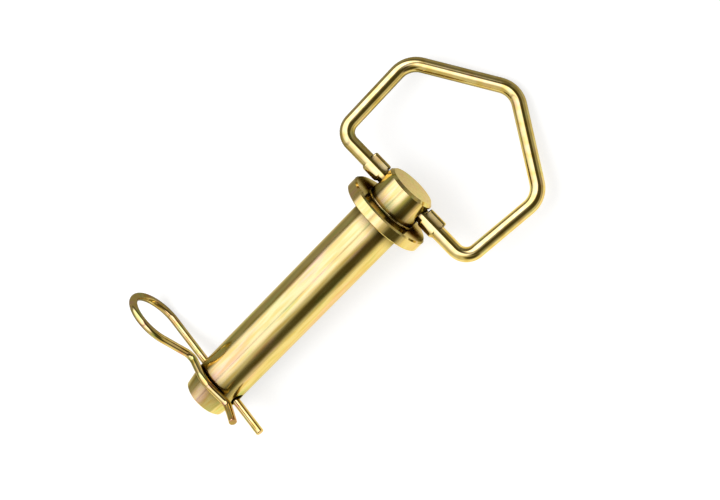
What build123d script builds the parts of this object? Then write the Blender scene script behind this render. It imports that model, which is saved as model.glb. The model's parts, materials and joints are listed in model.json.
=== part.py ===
from build123d import *
import os
from math import atan2, cos, degrees, radians, sin, sqrt, tan

os.makedirs("parts", exist_ok=True)

# ---- driving dimensions, millimetres ----

# Pin: shank, tip, collar and head boss, turned from one bar
SHANK_DIA = 25.4
SHANK_LENGTH = 128.8
TIP_TAPER_LENGTH = 9.5
TIP_END_DIA = 22.2
TIP_EDGE = 0.5
COLLAR_DIA = 44.0
COLLAR_THICKNESS = 6.0
COLLAR_TOP_EDGE = 0.8
COLLAR_UNDER_EDGE = 0.4
BOSS_DIA = 26.0
BOSS_HEIGHT = 15.4
BOSS_EDGE = 1.4
BOSS_ROOT_FILLET = 0.8
HINGE_ABOVE_COLLAR = 8.5
HINGE_HOLE_DIA = 8.8
HINGE_HOLE_EDGE = 0.7
HOLE_OVERRUN = 2.0
SAME = 0.01

# Clip hole across the shank
CLIP_HOLE_FROM_TIP = 13.2
CLIP_HOLE_DIA = 6.2
CLIP_HOLE_EDGE = 0.5
CLIP_HOLE_TURN = 14.5

# Handle: one round wire bent into a five-sided loop, its ends in the boss
HANDLE_WIRE_DIA = 7.3
HANDLE_LEG_CORNER_X = 41.9
HANDLE_SHOULDER_X = 44.8
HANDLE_SHOULDER_REACH = 45.9
HANDLE_APEX_REACH = 73.5
HANDLE_LEG_BEND = 7.5
HANDLE_SHOULDER_BEND = 12.0
HANDLE_APEX_BEND = 12.0
HANDLE_END_GAP = 1.5
HANDLE_END_EDGE = 0.5

# Ears pressed into the handle legs just outside the boss
EAR_SIDE_PLAY = 0.6
EAR_LENGTH = 10.0
EAR_THICKNESS = 3.3
EAR_FLATS_START = 1.35
EAR_FIN_PROUD = 1.9
EAR_FIN_TOP_FILLET = 1.5
EAR_FIN_END_FILLET = 0.8
EAR_HEEL_DIA = 6.8
EAR_HEEL_SHIFT = 1.15
EAR_HEEL_END_FILLET = 1.8

# Hairpin clip: u runs along the straight leg, v square to it, the pin axis at 0, 0
CLIP_WIRE_DIA = 4.0
CLIP_END_EDGE = 0.3
CLIP_LEG_END_U = 33.0
CLIP_LOOP_CENTRE_U = -40.0
CLIP_LOOP_RADIUS = 15.5
CLIP_LOOP_FLAT = 0.1
CLIP_HUMP_GAP = 0.3
CLIP_HUMP_RADIUS = 12.0
CLIP_HUMP_HALF_ANGLE = 21.9
CLIP_LOOP_SIDE_ANGLE = 55.0
CLIP_KNEE_BEND = 5.0
CLIP_FLARE_KNEE_U = 14.3
CLIP_FLARE_END_U = 25.5
CLIP_FLARE_END_V = -17.8
CLIP_HOLE_REST_GAP = 0.3

# ---- sizes that follow from them ----

shank_radius = SHANK_DIA / 2
collar_radius = COLLAR_DIA / 2
boss_radius = BOSS_DIA / 2
taper_start = SHANK_LENGTH - TIP_TAPER_LENGTH
clip_hole_below_collar = SHANK_LENGTH - CLIP_HOLE_FROM_TIP
hinge_height = COLLAR_THICKNESS + HINGE_ABOVE_COLLAR
boss_top = COLLAR_THICKNESS + BOSS_HEIGHT
wire_radius = HANDLE_WIRE_DIA / 2
clip_radius = CLIP_WIRE_DIA / 2

# The pin lies on the rim under its collar and on the edge where the taper starts
rest_tilt = degrees(atan2(collar_radius - shank_radius, taper_start + COLLAR_UNDER_EDGE))
axis_height = collar_radius * cos(radians(rest_tilt)) - COLLAR_UNDER_EDGE * sin(radians(rest_tilt))

# The handle hangs until the wire at its apex meets the floor
roof_angle = atan2(HANDLE_APEX_REACH - HANDLE_SHOULDER_REACH, HANDLE_SHOULDER_X)
apex_reach = HANDLE_APEX_REACH - HANDLE_APEX_BEND * (1 / cos(roof_angle) - 1)
hinge_floor_height = axis_height + hinge_height * sin(radians(rest_tilt))
apex_drop = (hinge_floor_height - wire_radius) / apex_reach
handle_droop = degrees(atan2(apex_drop, sqrt(1 - apex_drop ** 2)))

pin_direction = Vector(cos(radians(rest_tilt)), 0, sin(radians(rest_tilt)))
cross_direction = Vector(0, -1, 0)
down_direction = pin_direction.cross(cross_direction)
handle_direction = Vector(cos(radians(handle_droop)), 0, -sin(radians(handle_droop)))
clip_turn = radians(CLIP_HOLE_TURN)
clip_direction = cross_direction * cos(clip_turn) - down_direction * sin(clip_turn)

profile_plane = Plane(origin=(0, 0, 0), x_dir=down_direction, z_dir=cross_direction)
pin_axis = Axis((0, 0, 0), pin_direction)
hinge_centre = pin_direction * hinge_height
hinge_plane = Plane(origin=hinge_centre, x_dir=pin_direction, z_dir=cross_direction)
clip_hole_centre = pin_direction * -clip_hole_below_collar
clip_hole_plane = Plane(origin=clip_hole_centre, x_dir=pin_direction, z_dir=clip_direction)
handle_plane = Plane(origin=hinge_centre, x_dir=cross_direction, z_dir=cross_direction.cross(handle_direction))
ear_plane = Plane(origin=hinge_centre, x_dir=handle_direction, z_dir=cross_direction)
clip_drop = CLIP_HOLE_DIA / 2 - clip_radius - CLIP_HOLE_REST_GAP
clip_plane = Plane(
    origin=pin_direction * -(clip_hole_below_collar + clip_drop),
    x_dir=clip_direction,
    z_dir=pin_direction,
)

ear_start_x = boss_radius + EAR_SIDE_PLAY
ear_centre_x = ear_start_x + EAR_LENGTH / 2
ear_flat_height = wire_radius - EAR_FLATS_START
ear_flat_middle = EAR_FLATS_START + ear_flat_height / 2
ear_fin_top = wire_radius + EAR_FIN_PROUD

# Corners of the clip's outline, where its straight runs would meet
hump_slope = tan(radians(CLIP_HUMP_HALF_ANGLE))
side_slope = tan(radians(CLIP_LOOP_SIDE_ANGLE))
hump_crown_v = -(shank_radius + clip_radius + CLIP_HUMP_GAP)
hump_tip_v = hump_crown_v - CLIP_HUMP_RADIUS * (1 / cos(radians(CLIP_HUMP_HALF_ANGLE)) - 1)
loop_end_u = CLIP_LOOP_CENTRE_U - CLIP_LOOP_RADIUS
loop_top_v = -2 * CLIP_LOOP_RADIUS
loop_side_u = CLIP_LOOP_CENTRE_U + CLIP_LOOP_RADIUS * tan(radians(CLIP_LOOP_SIDE_ANGLE / 2))
knee_u = (hump_tip_v - loop_top_v + side_slope * loop_side_u) / (side_slope + hump_slope)
knee_v = hump_tip_v - hump_slope * knee_u
flare_knee_v = hump_tip_v + hump_slope * CLIP_FLARE_KNEE_U


def rim_at(builder, radius, height):
    """The circular edge of this radius at this height along the pin."""
    circles = builder.edges().filter_by(GeomType.CIRCLE)
    sized = circles.filter_by(lambda edge: abs(edge.radius - radius) < SAME)
    return sized.filter_by(lambda edge: abs(edge.arc_center.dot(pin_direction) - height) < SAME)


# ---- pin ----

with BuildPart() as pin:
    with BuildSketch(profile_plane):
        with BuildLine():
            Polyline(
                (0, -SHANK_LENGTH),
                (TIP_END_DIA / 2, -SHANK_LENGTH),
                (shank_radius, -taper_start),
                (shank_radius, 0),
                (collar_radius, 0),
                (collar_radius, COLLAR_THICKNESS),
                (boss_radius, COLLAR_THICKNESS),
                (boss_radius, boss_top),
                (0, boss_top),
                close=True,
            )
        make_face()
    revolve(axis=pin_axis)
    chamfer(rim_at(pin, TIP_END_DIA / 2, -SHANK_LENGTH), length=TIP_EDGE)
    chamfer(rim_at(pin, collar_radius, 0), length=COLLAR_UNDER_EDGE)
    chamfer(rim_at(pin, collar_radius, COLLAR_THICKNESS), length=COLLAR_TOP_EDGE)
    chamfer(rim_at(pin, boss_radius, boss_top), length=BOSS_EDGE)
    fillet(rim_at(pin, boss_radius, COLLAR_THICKNESS), radius=BOSS_ROOT_FILLET)
    # hole through the boss for the two handle ends
    with BuildSketch(hinge_plane):
        Circle(HINGE_HOLE_DIA / 2)
    extrude(amount=boss_radius + HOLE_OVERRUN, both=True, mode=Mode.SUBTRACT)
    hinge_mouths = pin.edges(Select.LAST).filter_by(GeomType.CIRCLE, reverse=True)
    fillet(hinge_mouths, radius=HINGE_HOLE_EDGE)
    # hole across the shank for the hairpin clip
    with BuildSketch(clip_hole_plane):
        Circle(CLIP_HOLE_DIA / 2)
    extrude(amount=shank_radius + HOLE_OVERRUN, both=True, mode=Mode.SUBTRACT)
    clip_mouths = pin.edges(Select.LAST).filter_by(GeomType.CIRCLE, reverse=True)
    fillet(clip_mouths, radius=CLIP_HOLE_EDGE)
pin.part.label = "pin"
export_step(pin.part, "parts/pin.step")

# ---- handle ----

with BuildPart() as handle:
    with BuildLine(handle_plane) as handle_path:
        FilletPolyline(
            (HANDLE_END_GAP / 2, 0),
            (HANDLE_LEG_CORNER_X, 0),
            (HANDLE_SHOULDER_X, HANDLE_SHOULDER_REACH),
            (0, HANDLE_APEX_REACH),
            (-HANDLE_SHOULDER_X, HANDLE_SHOULDER_REACH),
            (-HANDLE_LEG_CORNER_X, 0),
            (-HANDLE_END_GAP / 2, 0),
            radius=[
                HANDLE_LEG_BEND,
                HANDLE_SHOULDER_BEND,
                HANDLE_APEX_BEND,
                HANDLE_SHOULDER_BEND,
                HANDLE_LEG_BEND,
            ],
        )
    with BuildSketch(Plane(origin=handle_path.line @ 0, z_dir=handle_path.line % 0)):
        Circle(wire_radius)
    sweep(path=handle_path.line)
    wire_ends = handle.faces().filter_by(GeomType.PLANE).sort_by(Axis(hinge_centre, cross_direction))
    chamfer(wire_ends.edges(), length=HANDLE_END_EDGE)
    # heel of each ear, a soft swelling on the side next to the collar
    with BuildPart() as heels:
        with BuildSketch(ear_plane.offset(ear_start_x)):
            with Locations((-EAR_HEEL_SHIFT, 0)):
                Circle(EAR_HEEL_DIA / 2)
        extrude(amount=EAR_LENGTH)
        fillet(heels.edges().filter_by(GeomType.CIRCLE), radius=EAR_HEEL_END_FILLET)
        mirror(about=ear_plane)
    # the wire pressed flat above its middle, on both faces
    with BuildSketch(handle_plane.offset(EAR_THICKNESS / 2)):
        with Locations((ear_centre_x, ear_flat_middle), (-ear_centre_x, ear_flat_middle)):
            Rectangle(EAR_LENGTH, ear_flat_height)
    extrude(amount=wire_radius, mode=Mode.SUBTRACT)
    with BuildSketch(handle_plane.offset(-EAR_THICKNESS / 2)):
        with Locations((ear_centre_x, ear_flat_middle), (-ear_centre_x, ear_flat_middle)):
            Rectangle(EAR_LENGTH, ear_flat_height)
    extrude(amount=-wire_radius, mode=Mode.SUBTRACT)
    # fin of each ear, squeezed up out of the flats
    with BuildPart() as fins:
        with BuildSketch(ear_plane.offset(ear_start_x)) as fin_profile:
            with Locations((ear_fin_top / 2, 0)):
                Rectangle(ear_fin_top, EAR_THICKNESS)
            fin_corners = fin_profile.vertices().group_by(Axis(hinge_centre, handle_direction))[-1]
            fillet(fin_corners, radius=EAR_FIN_TOP_FILLET)
        extrude(amount=EAR_LENGTH)
        fillet(fins.faces().filter_by(ear_plane).edges(), radius=EAR_FIN_END_FILLET)
        mirror(about=ear_plane)
handle.part.label = "handle"
export_step(handle.part, "parts/handle.step")

# ---- hairpin clip ----

with BuildPart() as hairpin_clip:
    with BuildLine(clip_plane) as clip_path:
        FilletPolyline(
            (CLIP_LEG_END_U, 0),
            (loop_end_u, 0),
            (loop_end_u, loop_top_v),
            (loop_side_u, loop_top_v),
            (knee_u, knee_v),
            (0, hump_tip_v),
            (CLIP_FLARE_KNEE_U, flare_knee_v),
            (CLIP_FLARE_END_U, CLIP_FLARE_END_V),
            radius=[
                CLIP_LOOP_RADIUS - CLIP_LOOP_FLAT,
                CLIP_LOOP_RADIUS - CLIP_LOOP_FLAT,
                CLIP_LOOP_RADIUS - CLIP_LOOP_FLAT,
                CLIP_KNEE_BEND,
                CLIP_HUMP_RADIUS,
                CLIP_KNEE_BEND,
            ],
        )
    with BuildSketch(Plane(origin=clip_path.line @ 0, z_dir=clip_path.line % 0)):
        Circle(clip_radius)
    sweep(path=clip_path.line)
    clip_ends = hairpin_clip.faces().filter_by(GeomType.PLANE)
    chamfer(clip_ends.edges(), length=CLIP_END_EDGE)
hairpin_clip.part.label = "hairpin_clip"
export_step(hairpin_clip.part, "parts/hairpin_clip.step")
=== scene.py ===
"""Hitch pin with a swinging wire handle and a hairpin clip: finishes, floor, light and camera."""

import json
import math

import bpy
from mathutils import Matrix, Vector


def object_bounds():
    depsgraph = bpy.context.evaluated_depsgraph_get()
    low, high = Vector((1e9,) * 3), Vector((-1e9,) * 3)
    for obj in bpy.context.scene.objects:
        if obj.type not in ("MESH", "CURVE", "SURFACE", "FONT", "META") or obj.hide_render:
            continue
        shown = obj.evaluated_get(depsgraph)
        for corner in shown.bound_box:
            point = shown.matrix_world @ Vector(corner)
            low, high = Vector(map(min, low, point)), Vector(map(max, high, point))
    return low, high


bl_info = {
    "name": "Hitch pin",
    "version": (1, 0, 0),
    "blender": (4, 2, 0),
    "location": "View3D > Sidebar > Hitch pin",
    "description": "Yellow zinc finishes, floor, light and camera for a hitch pin with its handle and clip",
    "category": "Object",
}

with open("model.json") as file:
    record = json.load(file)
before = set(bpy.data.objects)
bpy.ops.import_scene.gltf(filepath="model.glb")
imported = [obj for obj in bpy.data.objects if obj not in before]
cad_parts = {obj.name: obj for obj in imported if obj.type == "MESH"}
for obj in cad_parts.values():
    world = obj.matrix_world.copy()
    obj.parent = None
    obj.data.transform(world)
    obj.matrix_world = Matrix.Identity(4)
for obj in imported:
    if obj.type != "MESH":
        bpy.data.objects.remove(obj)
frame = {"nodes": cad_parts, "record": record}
solid_low, solid_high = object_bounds()
floor_height = solid_low.z

MM = 0.001

# The room that the metal mirrors, paler towards -X and -Y
ROOM_LEVEL = 0.52
ROOM_SLOPE = (-0.22, -0.32, 0.0)
FILL_LEVEL = 0.55

# Directions are (azimuth, elevation) in degrees, azimuth 0 along +X. The light is brighter towards +X
LIGHT_WAY = (100, 60)
LIGHT_FULL = 36
LIGHT_END = 55
LIGHT_COLOUR = (1.75, 1.8, 2.85)
LIGHT_LEVEL = 1.3
LIGHT_SLOPE = (0.85, 0.0, 0.0)

# The dimmer seam between the light's two panels
SEAM_ACROSS = (0.0, 0.995, 0.1)
SEAM_PLACE = 0.29
SEAM_WIDTH = 0.08
SEAM_DEPTH = 0.42

# Dark parts of the room: (direction, angle that is fully dark, angle where the dark ends)
DARK_COLOUR = "#524f38"
DARKS = (((-45, 48), 18, 32), ((-5, 50), 14, 28), ((-102, 35), 14, 31))

# The board as metal sees it, a painted pool of light: pale beside the pin, dimmer from the corner towards +X
# and +Y, in metres
PALE_CORNER = (-0.04, -0.08)
PALE_SQUEEZE = 1.6
PALE_REACH = 0.125
PALE_END = 0.20
FLOOR_PALE = 1.2
FLOOR_DIM = 0.3
BOARD_GREY = 0.5
BOARD_LIFT = 0.68

# The film's colour drifts over a few millimetres
FILM_PATCH = 7 * MM

# The camera and lamp both point here, between the collar and the clip
AIM_POINT = (-0.0185, -0.0035, 0.0)
LAMP_PLACE = (-0.7, 0.6, 1.4)
LAMP_SIZE = 1.2
LAMP_WATTS = 14.0

# Where the film's patches begin, in metres: the long flank of the pin comes out greenish, its top golden
FILM_START = (0.11, 0.03, 0.02)

# The pin lies on its collar and the start of its taper, so its axis rises towards the head
shank_mount = next(m for m in frame["record"]["mounts"] if m["name"] == "shank")
pin_direction = -Vector(shank_mount["axis"])
pin_tilt = math.atan2(pin_direction.z, pin_direction.x)


def colour(hex_value):
    """An sRGB hex colour as linear red, green, blue and alpha."""
    parts = [int(hex_value[i : i + 2], 16) / 255 for i in (1, 3, 5)]
    linear = [c / 12.92 if c <= 0.04045 else ((c + 0.055) / 1.055) ** 2.4 for c in parts]
    return (*linear, 1.0)


def add_node(tree, kind, settings=None, links=None, values=None):
    """A node of this kind with its settings, its unlinked values and the sockets that feed it."""
    node = tree.nodes.new(kind)
    for name, value in (settings or {}).items():
        setattr(node, name, value)
    for name, value in (values or {}).items():
        node.inputs[name].default_value = value
    for name, source in (links or {}).items():
        tree.links.new(source, node.inputs[name])
    return node


def set_stops(ramp, stops):
    """Gives a colour ramp these (place, colour) stops."""
    elements = ramp.color_ramp.elements
    while len(elements) > 1:
        elements.remove(elements[-1])
    elements[0].position, elements[0].color = stops[0]
    for place, tint in stops[1:]:
        elements.new(place).color = tint


def grey(level):
    """A linear grey of this level."""
    return (level, level, level, 1.0)


def new_material(name):
    """An empty node material with its output node, as (material, tree, output)."""
    material = bpy.data.materials.new(name)
    material.use_nodes = True
    tree = material.node_tree
    tree.nodes.clear()
    return material, tree, add_node(tree, "ShaderNodeOutputMaterial")


# Surfaces under the film, in millimetres. The streaks are drawn coarser than real draw lines, and on wire they
# are soft patches with no direction
TURNED_BAR = {
    "spread": 0.16, "shade_reach_mm": 9, "patch_stretch": 5, "streak_mm": 1.6, "streak_stretch": 10,
    "relief_mm": 0.02, "along": pin_tilt,
}
BENT_WIRE = {
    "spread": 0.26, "shade_reach_mm": 2, "patch_stretch": 1, "streak_mm": 4, "streak_stretch": 1,
    "relief_mm": 0.003, "along": 0,
}
SPRING_WIRE = {**BENT_WIRE, "spread": 0.14}


def yellow_zinc(
    name, film_colours, roughness, spread, shade_reach_mm, patch_stretch, streak_mm, streak_stretch, relief_mm,
    along,
):
    """Steel plated with zinc and dipped in yellow chromate: a bright metal whose film shifts from gold to
    green and pink in soft patches. The surface under it has soft streaks."""
    gold, green, pink = film_colours
    material, tree, output = new_material(name)
    place = add_node(tree, "ShaderNodeTexCoord")
    turned = add_node(
        tree, "ShaderNodeMapping", links={"Vector": place.outputs["Object"]},
        values={"Rotation": (0, along, 0), "Location": FILM_START},
    )
    drifted = add_node(
        tree, "ShaderNodeMapping", links={"Vector": turned.outputs["Vector"]},
        values={"Scale": (1 / patch_stretch, 1, 1)},
    )
    patches = add_node(
        tree, "ShaderNodeTexNoise", links={"Vector": drifted.outputs["Vector"]},
        values={"Scale": 1 / FILM_PATCH, "Detail": 4.0, "Roughness": 0.6},
    )
    stretched = add_node(
        tree, "ShaderNodeMapping", links={"Vector": turned.outputs["Vector"]},
        values={"Scale": (1 / streak_stretch, 1, 1)},
    )
    streaks = add_node(
        tree, "ShaderNodeTexNoise", links={"Vector": stretched.outputs["Vector"]},
        values={"Scale": 1 / (streak_mm * MM), "Detail": 2.0, "Roughness": 0.4},
    )
    film = add_node(tree, "ShaderNodeValToRGB", links={"Fac": patches.outputs["Fac"]})
    set_stops(film, [
        (0.5 - spread, colour(green)), (0.5 - spread / 4, colour(gold)), (0.5 + spread / 4, colour(gold)),
        (0.5 + spread, colour(pink)),
    ])
    drawn = add_node(tree, "ShaderNodeValToRGB", links={"Fac": streaks.outputs["Fac"]})
    set_stops(drawn, [(0.32, colour("#f5eac6")), (0.6, grey(1.0))])
    plated = add_node(
        tree, "ShaderNodeVectorMath", settings={"operation": "MULTIPLY"},
        links={0: film.outputs["Color"], 1: drawn.outputs["Color"]},
    )
    # painted shade: in corners, crevices and near other parts and the floor, the film turns dark brown and
    # dull
    corner = add_node(
        tree, "ShaderNodeAmbientOcclusion", settings={"samples": 8}, values={"Distance": shade_reach_mm * MM}
    )
    open_surface = add_node(
        tree, "ShaderNodeMapRange", links={"Value": corner.outputs["AO"]},
        values={"From Min": 0.5, "From Max": 1.0, "To Min": 0.0, "To Max": 1.0},
    )
    painted_shade_brown = colour("#3e2b14")
    shaded_film = add_node(
        tree, "ShaderNodeMix", settings={"data_type": "RGBA"},
        links={"Factor": open_surface.outputs["Result"], 7: plated.outputs["Vector"]}, values={6: painted_shade_brown},
    )
    # painted shade: the edge colour is darkened to the same brown in corners and near other parts
    shaded_edge_tint = add_node(
        tree, "ShaderNodeMix", settings={"data_type": "RGBA"},
        links={"Factor": open_surface.outputs["Result"]}, values={6: painted_shade_brown, 7: colour("#f6efd2")},
    )
    rub = add_node(
        tree, "ShaderNodeMapRange", links={"Value": streaks.outputs["Fac"]},
        values={"From Min": 0.3, "From Max": 0.7, "To Min": roughness * 0.8, "To Max": roughness * 1.25},
    )
    relief = add_node(
        tree, "ShaderNodeBump", links={"Height": streaks.outputs["Fac"]},
        values={"Strength": 1.0, "Distance": relief_mm * MM},
    )
    metal = add_node(
        tree, "ShaderNodeBsdfPrincipled",
        links={
            "Base Color": shaded_film.outputs[2], "Specular Tint": shaded_edge_tint.outputs[2],
            "Roughness": rub.outputs["Result"], "Normal": relief.outputs["Normal"],
        },
        values={"Metallic": 1.0},
    )
    tree.links.new(metal.outputs["BSDF"], output.inputs["Surface"])
    return material


def dress(node_name, material):
    """Puts a material on a carried-over solid."""
    solid = frame["nodes"][node_name]
    solid.data.materials.clear()
    solid.data.materials.append(material)


class FinishSettings(bpy.types.PropertyGroup):
    """Colours and gloss of the plating."""

    gold: bpy.props.StringProperty(name="Gold", description="Main colour of the film", default="#dcc578")
    green: bpy.props.StringProperty(name="Green", description="Green shift of the film", default="#c5c56f")
    pink: bpy.props.StringProperty(name="Pink", description="Pink shift of the film", default="#e0bb85")
    bar_roughness: bpy.props.FloatProperty(
        name="Bar roughness", description="Roughness of the turned pin", default=0.13, min=0.0, max=1.0
    )
    wire_roughness: bpy.props.FloatProperty(
        name="Wire roughness", description="Roughness of the handle", default=0.08, min=0.0, max=1.0
    )
    clip_gold: bpy.props.StringProperty(
        name="Clip gold", description="Main colour on the clip", default="#d6bb70"
    )
    clip_green: bpy.props.StringProperty(
        name="Clip green", description="Green shift on the clip", default="#b9b866"
    )
    clip_pink: bpy.props.StringProperty(
        name="Clip pink", description="Pink shift on the clip", default="#d3a179"
    )
    clip_roughness: bpy.props.FloatProperty(
        name="Clip roughness", description="Roughness of the spring wire", default=0.045, min=0.0, max=1.0
    )


class StageSettings(bpy.types.PropertyGroup):
    """Floor, light and camera."""

    floor_size: bpy.props.FloatProperty(
        name="Floor size", description="Side of the square floor", default=6.0, unit="LENGTH"
    )
    camera_distance: bpy.props.FloatProperty(
        name="Camera distance", description="From the aim point to the camera", default=0.8381, unit="LENGTH"
    )
    camera_azimuth: bpy.props.FloatProperty(
        name="Camera azimuth", description="Round the pin, 0 looking along +Y", default=math.radians(66.31),
        subtype="ANGLE",
    )
    camera_elevation: bpy.props.FloatProperty(
        name="Camera elevation", description="Above the horizon", default=math.radians(76.66), subtype="ANGLE"
    )
    camera_roll: bpy.props.FloatProperty(
        name="Camera roll", description="About the line of sight", default=math.radians(-110.7),
        subtype="ANGLE",
    )
    lens: bpy.props.FloatProperty(name="Lens", description="Focal length in millimetres", default=88.75)


class PIN_OT_finish_pin(bpy.types.Operator):
    """Plate the pin in yellow zinc"""

    bl_idname = "hitchpin.finish_pin"
    bl_label = "Finish pin"

    def execute(self, context):
        s = context.scene.pin_finish
        film = (s.gold, s.green, s.pink)
        dress("pin", yellow_zinc("yellow_zinc_on_turned_bar", film, s.bar_roughness, **TURNED_BAR))
        return {"FINISHED"}


class PIN_OT_finish_handle(bpy.types.Operator):
    """Plate the handle in yellow zinc"""

    bl_idname = "hitchpin.finish_handle"
    bl_label = "Finish handle"

    def execute(self, context):
        s = context.scene.pin_finish
        film = (s.gold, s.green, s.pink)
        dress("handle", yellow_zinc("yellow_zinc_on_bent_wire", film, s.wire_roughness, **BENT_WIRE))
        return {"FINISHED"}


class PIN_OT_finish_clip(bpy.types.Operator):
    """Plate the hairpin clip in yellow zinc"""

    bl_idname = "hitchpin.finish_clip"
    bl_label = "Finish clip"

    def execute(self, context):
        s = context.scene.pin_finish
        film = (s.clip_gold, s.clip_green, s.clip_pink)
        dress("hairpin_clip", yellow_zinc("yellow_zinc_on_spring_wire", film, s.clip_roughness, **SPRING_WIRE))
        return {"FINISHED"}


def heading(way):
    """The unit vector of an (azimuth, elevation) in degrees."""
    azimuth, elevation = (math.radians(a) for a in way)
    level = math.cos(elevation)
    return (math.cos(azimuth) * level, math.sin(azimuth) * level, math.sin(elevation))


def patch(tree, direction, way, full, end):
    """How far a direction lies in a soft round patch: 1 inside the first angle, 0 outside the second."""
    near = add_node(tree, "ShaderNodeVectorMath", settings={"operation": "DOT_PRODUCT"}, links={0: direction})
    near.inputs[1].default_value = heading(way)
    return add_node(
        tree, "ShaderNodeMapRange", settings={"interpolation_type": "SMOOTHSTEP"},
        links={"Value": near.outputs["Value"]},
        values={"From Min": math.cos(math.radians(end)), "From Max": math.cos(math.radians(full))},
    ).outputs["Result"]


def studio_world(scene):
    """A studio as bright metal mirrors it: one wide light in two panels, dark parts of the room, and walls
    that are paler to one side. The camera sees plain white behind the pin."""
    world = bpy.data.worlds.new("studio")
    scene.world = world
    world.use_nodes = True
    tree = world.node_tree
    tree.nodes.clear()
    way = add_node(tree, "ShaderNodeTexCoord").outputs["Generated"]
    slope = add_node(tree, "ShaderNodeVectorMath", settings={"operation": "DOT_PRODUCT"}, links={0: way})
    slope.inputs[1].default_value = ROOM_SLOPE
    room = add_node(
        tree, "ShaderNodeMath", settings={"operation": "ADD"}, links={0: slope.outputs["Value"]},
        values={1: ROOM_LEVEL},
    )
    light = patch(tree, way, LIGHT_WAY, LIGHT_FULL, LIGHT_END)
    rise = add_node(tree, "ShaderNodeVectorMath", settings={"operation": "DOT_PRODUCT"}, links={0: way})
    rise.inputs[1].default_value = LIGHT_SLOPE
    power = add_node(
        tree, "ShaderNodeMath", settings={"operation": "ADD"}, links={0: rise.outputs["Value"]},
        values={1: LIGHT_LEVEL},
    )
    lamp = add_node(
        tree, "ShaderNodeVectorMath", settings={"operation": "SCALE"}, links={"Scale": power.outputs["Value"]}
    )
    lamp.inputs[0].default_value = LIGHT_COLOUR
    lit = add_node(
        tree, "ShaderNodeMix", settings={"data_type": "RGBA"},
        links={"Factor": light, 6: room.outputs["Value"], 7: lamp.outputs["Vector"]},
    )
    across = add_node(tree, "ShaderNodeVectorMath", settings={"operation": "DOT_PRODUCT"}, links={0: way})
    across.inputs[1].default_value = SEAM_ACROSS
    aside = add_node(
        tree, "ShaderNodeMath", settings={"operation": "SUBTRACT"}, links={0: across.outputs["Value"]},
        values={1: SEAM_PLACE},
    )
    apart = add_node(
        tree, "ShaderNodeMath", settings={"operation": "ABSOLUTE"}, links={0: aside.outputs["Value"]}
    )
    seam = add_node(
        tree, "ShaderNodeMapRange", settings={"interpolation_type": "SMOOTHSTEP"},
        links={"Value": apart.outputs["Value"]},
        values={"From Min": 0.0, "From Max": SEAM_WIDTH, "To Min": 1 - SEAM_DEPTH, "To Max": 1.0},
    )
    panels = add_node(
        tree, "ShaderNodeVectorMath", settings={"operation": "SCALE"},
        links={0: lit.outputs[2], "Scale": seam.outputs["Result"]},
    )
    darks = [patch(tree, way, *dark) for dark in DARKS]
    dark = darks[0]
    for more in darks[1:]:
        either = add_node(tree, "ShaderNodeMath", settings={"operation": "MAXIMUM"}, links={0: dark, 1: more})
        dark = either.outputs["Value"]
    seen_room = add_node(
        tree, "ShaderNodeMix", settings={"data_type": "RGBA"},
        links={"Factor": dark, 6: panels.outputs["Vector"]}, values={7: colour(DARK_COLOUR)},
    )
    seen = add_node(
        tree, "ShaderNodeBackground", links={"Color": seen_room.outputs[2]}, values={"Strength": 1.0}
    )
    fill = add_node(tree, "ShaderNodeBackground", values={"Color": grey(1.0), "Strength": FILL_LEVEL})
    backdrop = add_node(tree, "ShaderNodeBackground", values={"Color": grey(1.0), "Strength": 1.0})
    ray = add_node(tree, "ShaderNodeLightPath")
    glossy = add_node(
        tree, "ShaderNodeMixShader",
        links={0: ray.outputs["Is Glossy Ray"], 1: fill.outputs["Background"], 2: seen.outputs["Background"]},
    )
    all_rays = add_node(
        tree, "ShaderNodeMixShader",
        links={
            0: ray.outputs["Is Camera Ray"], 1: glossy.outputs["Shader"], 2: backdrop.outputs["Background"],
        },
    )
    add_node(tree, "ShaderNodeOutputWorld", links={"Surface": all_rays.outputs["Shader"]})


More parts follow.
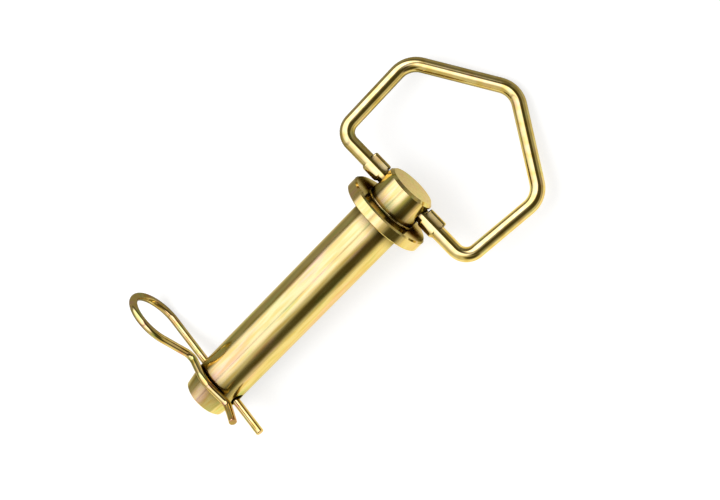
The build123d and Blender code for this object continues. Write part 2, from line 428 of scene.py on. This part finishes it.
def floor_material():
    """Matt white board that stays white to the camera and keeps the soft shadow. Mirrored in the metal it
    carries a painted pool of light: palest beside the pin and towards -X and -Y, and dimmer towards +X and +Y."""
    material, tree, output = new_material("matt_white_board")
    ray = add_node(tree, "ShaderNodeLightPath")
    place = add_node(tree, "ShaderNodeTexCoord")
    corner = add_node(
        tree, "ShaderNodeMapping", links={"Vector": place.outputs["Object"]},
        values={
            "Location": (-PALE_CORNER[0], -PALE_CORNER[1] * PALE_SQUEEZE, 0), "Scale": (1, PALE_SQUEEZE, 0),
        },
    )
    beyond = add_node(
        tree, "ShaderNodeVectorMath", settings={"operation": "MAXIMUM"}, links={0: corner.outputs["Vector"]}
    )
    reach = add_node(
        tree, "ShaderNodeVectorMath", settings={"operation": "LENGTH"}, links={0: beyond.outputs["Vector"]}
    )
    # painted pool of light: the board's glow and colour fall off away from the corner, for glossy rays only
    falloff = add_node(
        tree, "ShaderNodeMapRange", links={"Value": reach.outputs["Value"]},
        values={"From Min": PALE_REACH, "From Max": PALE_END, "To Min": FLOOR_PALE, "To Max": FLOOR_DIM},
    )
    shown = add_node(
        tree, "ShaderNodeMix", settings={"data_type": "FLOAT"},
        links={"Factor": ray.outputs["Is Glossy Ray"], 3: falloff.outputs["Result"]}, values={2: 1.0},
    )
    board = add_node(
        tree, "ShaderNodeVectorMath", settings={"operation": "SCALE"}, links={"Scale": shown.outputs[0]}
    )
    board.inputs[0].default_value = (BOARD_GREY,) * 3
    matt = add_node(tree, "ShaderNodeBsdfDiffuse", links={"Color": board.outputs["Vector"]})
    seen = add_node(
        tree, "ShaderNodeMath", settings={"operation": "MAXIMUM"},
        links={0: ray.outputs["Is Camera Ray"], 1: ray.outputs["Is Glossy Ray"]},
    )
    lift = add_node(
        tree, "ShaderNodeMath", settings={"operation": "MULTIPLY"},
        links={0: seen.outputs["Value"], 1: shown.outputs[0]},
    )
    level = add_node(
        tree, "ShaderNodeMath", settings={"operation": "MULTIPLY"}, links={0: lift.outputs["Value"]},
        values={1: BOARD_LIFT},
    )
    glow = add_node(
        tree, "ShaderNodeEmission", links={"Strength": level.outputs["Value"]}, values={"Color": grey(1.0)}
    )
    both = add_node(tree, "ShaderNodeAddShader", links={0: matt.outputs["BSDF"], 1: glow.outputs["Emission"]})
    tree.links.new(both.outputs["Shader"], output.inputs["Surface"])
    return material


class PIN_OT_set_stage(bpy.types.Operator):
    """Add the floor, the soft light and the camera"""

    bl_idname = "hitchpin.set_stage"
    bl_label = "Set stage"

    def execute(self, context):
        s = context.scene.pin_stage
        scene = context.scene
        bpy.ops.object.select_all(action="DESELECT")
        bpy.ops.mesh.primitive_plane_add(size=s.floor_size, location=(0, 0, floor_height))
        floor = context.active_object
        floor.name = "floor"
        bpy.ops.object.transform_apply(location=True, rotation=True, scale=True)
        floor.data.materials.append(floor_material())
        studio_world(scene)
        aim = Vector(AIM_POINT)
        bpy.ops.object.light_add(type="AREA", location=LAMP_PLACE)
        lamp = context.active_object
        lamp.name = "soft_light"
        lamp.data.shape = "DISK"
        lamp.data.size = LAMP_SIZE
        lamp.data.energy = LAMP_WATTS
        lamp.visible_glossy = False
        lamp.rotation_euler = (aim - lamp.location).to_track_quat("-Z", "Y").to_euler()
        back = Vector((
            math.sin(s.camera_azimuth) * math.cos(s.camera_elevation),
            -math.cos(s.camera_azimuth) * math.cos(s.camera_elevation),
            math.sin(s.camera_elevation),
        ))
        bpy.ops.object.camera_add(location=aim + back * s.camera_distance)
        camera = context.active_object
        camera.name = "camera"
        turn = (-back).to_track_quat("-Z", "Y").to_matrix() @ Matrix.Rotation(s.camera_roll, 3, "Z")
        camera.rotation_euler = turn.to_euler()
        camera.data.lens = s.lens
        camera.data.clip_start, camera.data.clip_end = 0.01, 50
        scene.camera = camera
        scene.view_settings.view_transform = "Standard"
        return {"FINISHED"}


OPERATORS = (PIN_OT_finish_pin, PIN_OT_finish_handle, PIN_OT_finish_clip, PIN_OT_set_stage)


class PIN_PT_panel(bpy.types.Panel):
    """Lists the steps that build the picture"""

    bl_idname = "PIN_PT_panel"
    bl_label = "Hitch pin"
    bl_space_type = "VIEW_3D"
    bl_region_type = "UI"
    bl_category = "Hitch pin"

    def draw(self, context):
        for operator in OPERATORS:
            self.layout.operator(operator.bl_idname)
        for group in (context.scene.pin_finish, context.scene.pin_stage):
            for name in group.bl_rna.properties.keys():
                if name not in ("rna_type", "name"):
                    self.layout.prop(group, name)


CLASSES = (FinishSettings, StageSettings, *OPERATORS, PIN_PT_panel)


def register():
    for cls in CLASSES:
        bpy.utils.register_class(cls)
    bpy.types.Scene.pin_finish = bpy.props.PointerProperty(type=FinishSettings)
    bpy.types.Scene.pin_stage = bpy.props.PointerProperty(type=StageSettings)


def unregister():
    del bpy.types.Scene.pin_finish
    del bpy.types.Scene.pin_stage
    for cls in reversed(CLASSES):
        bpy.utils.unregister_class(cls)


def main():
    register()
    bpy.ops.hitchpin.finish_pin()
    bpy.ops.hitchpin.finish_handle()
    bpy.ops.hitchpin.finish_clip()
    bpy.ops.hitchpin.set_stage()


if __name__ == "__main__":
    main()
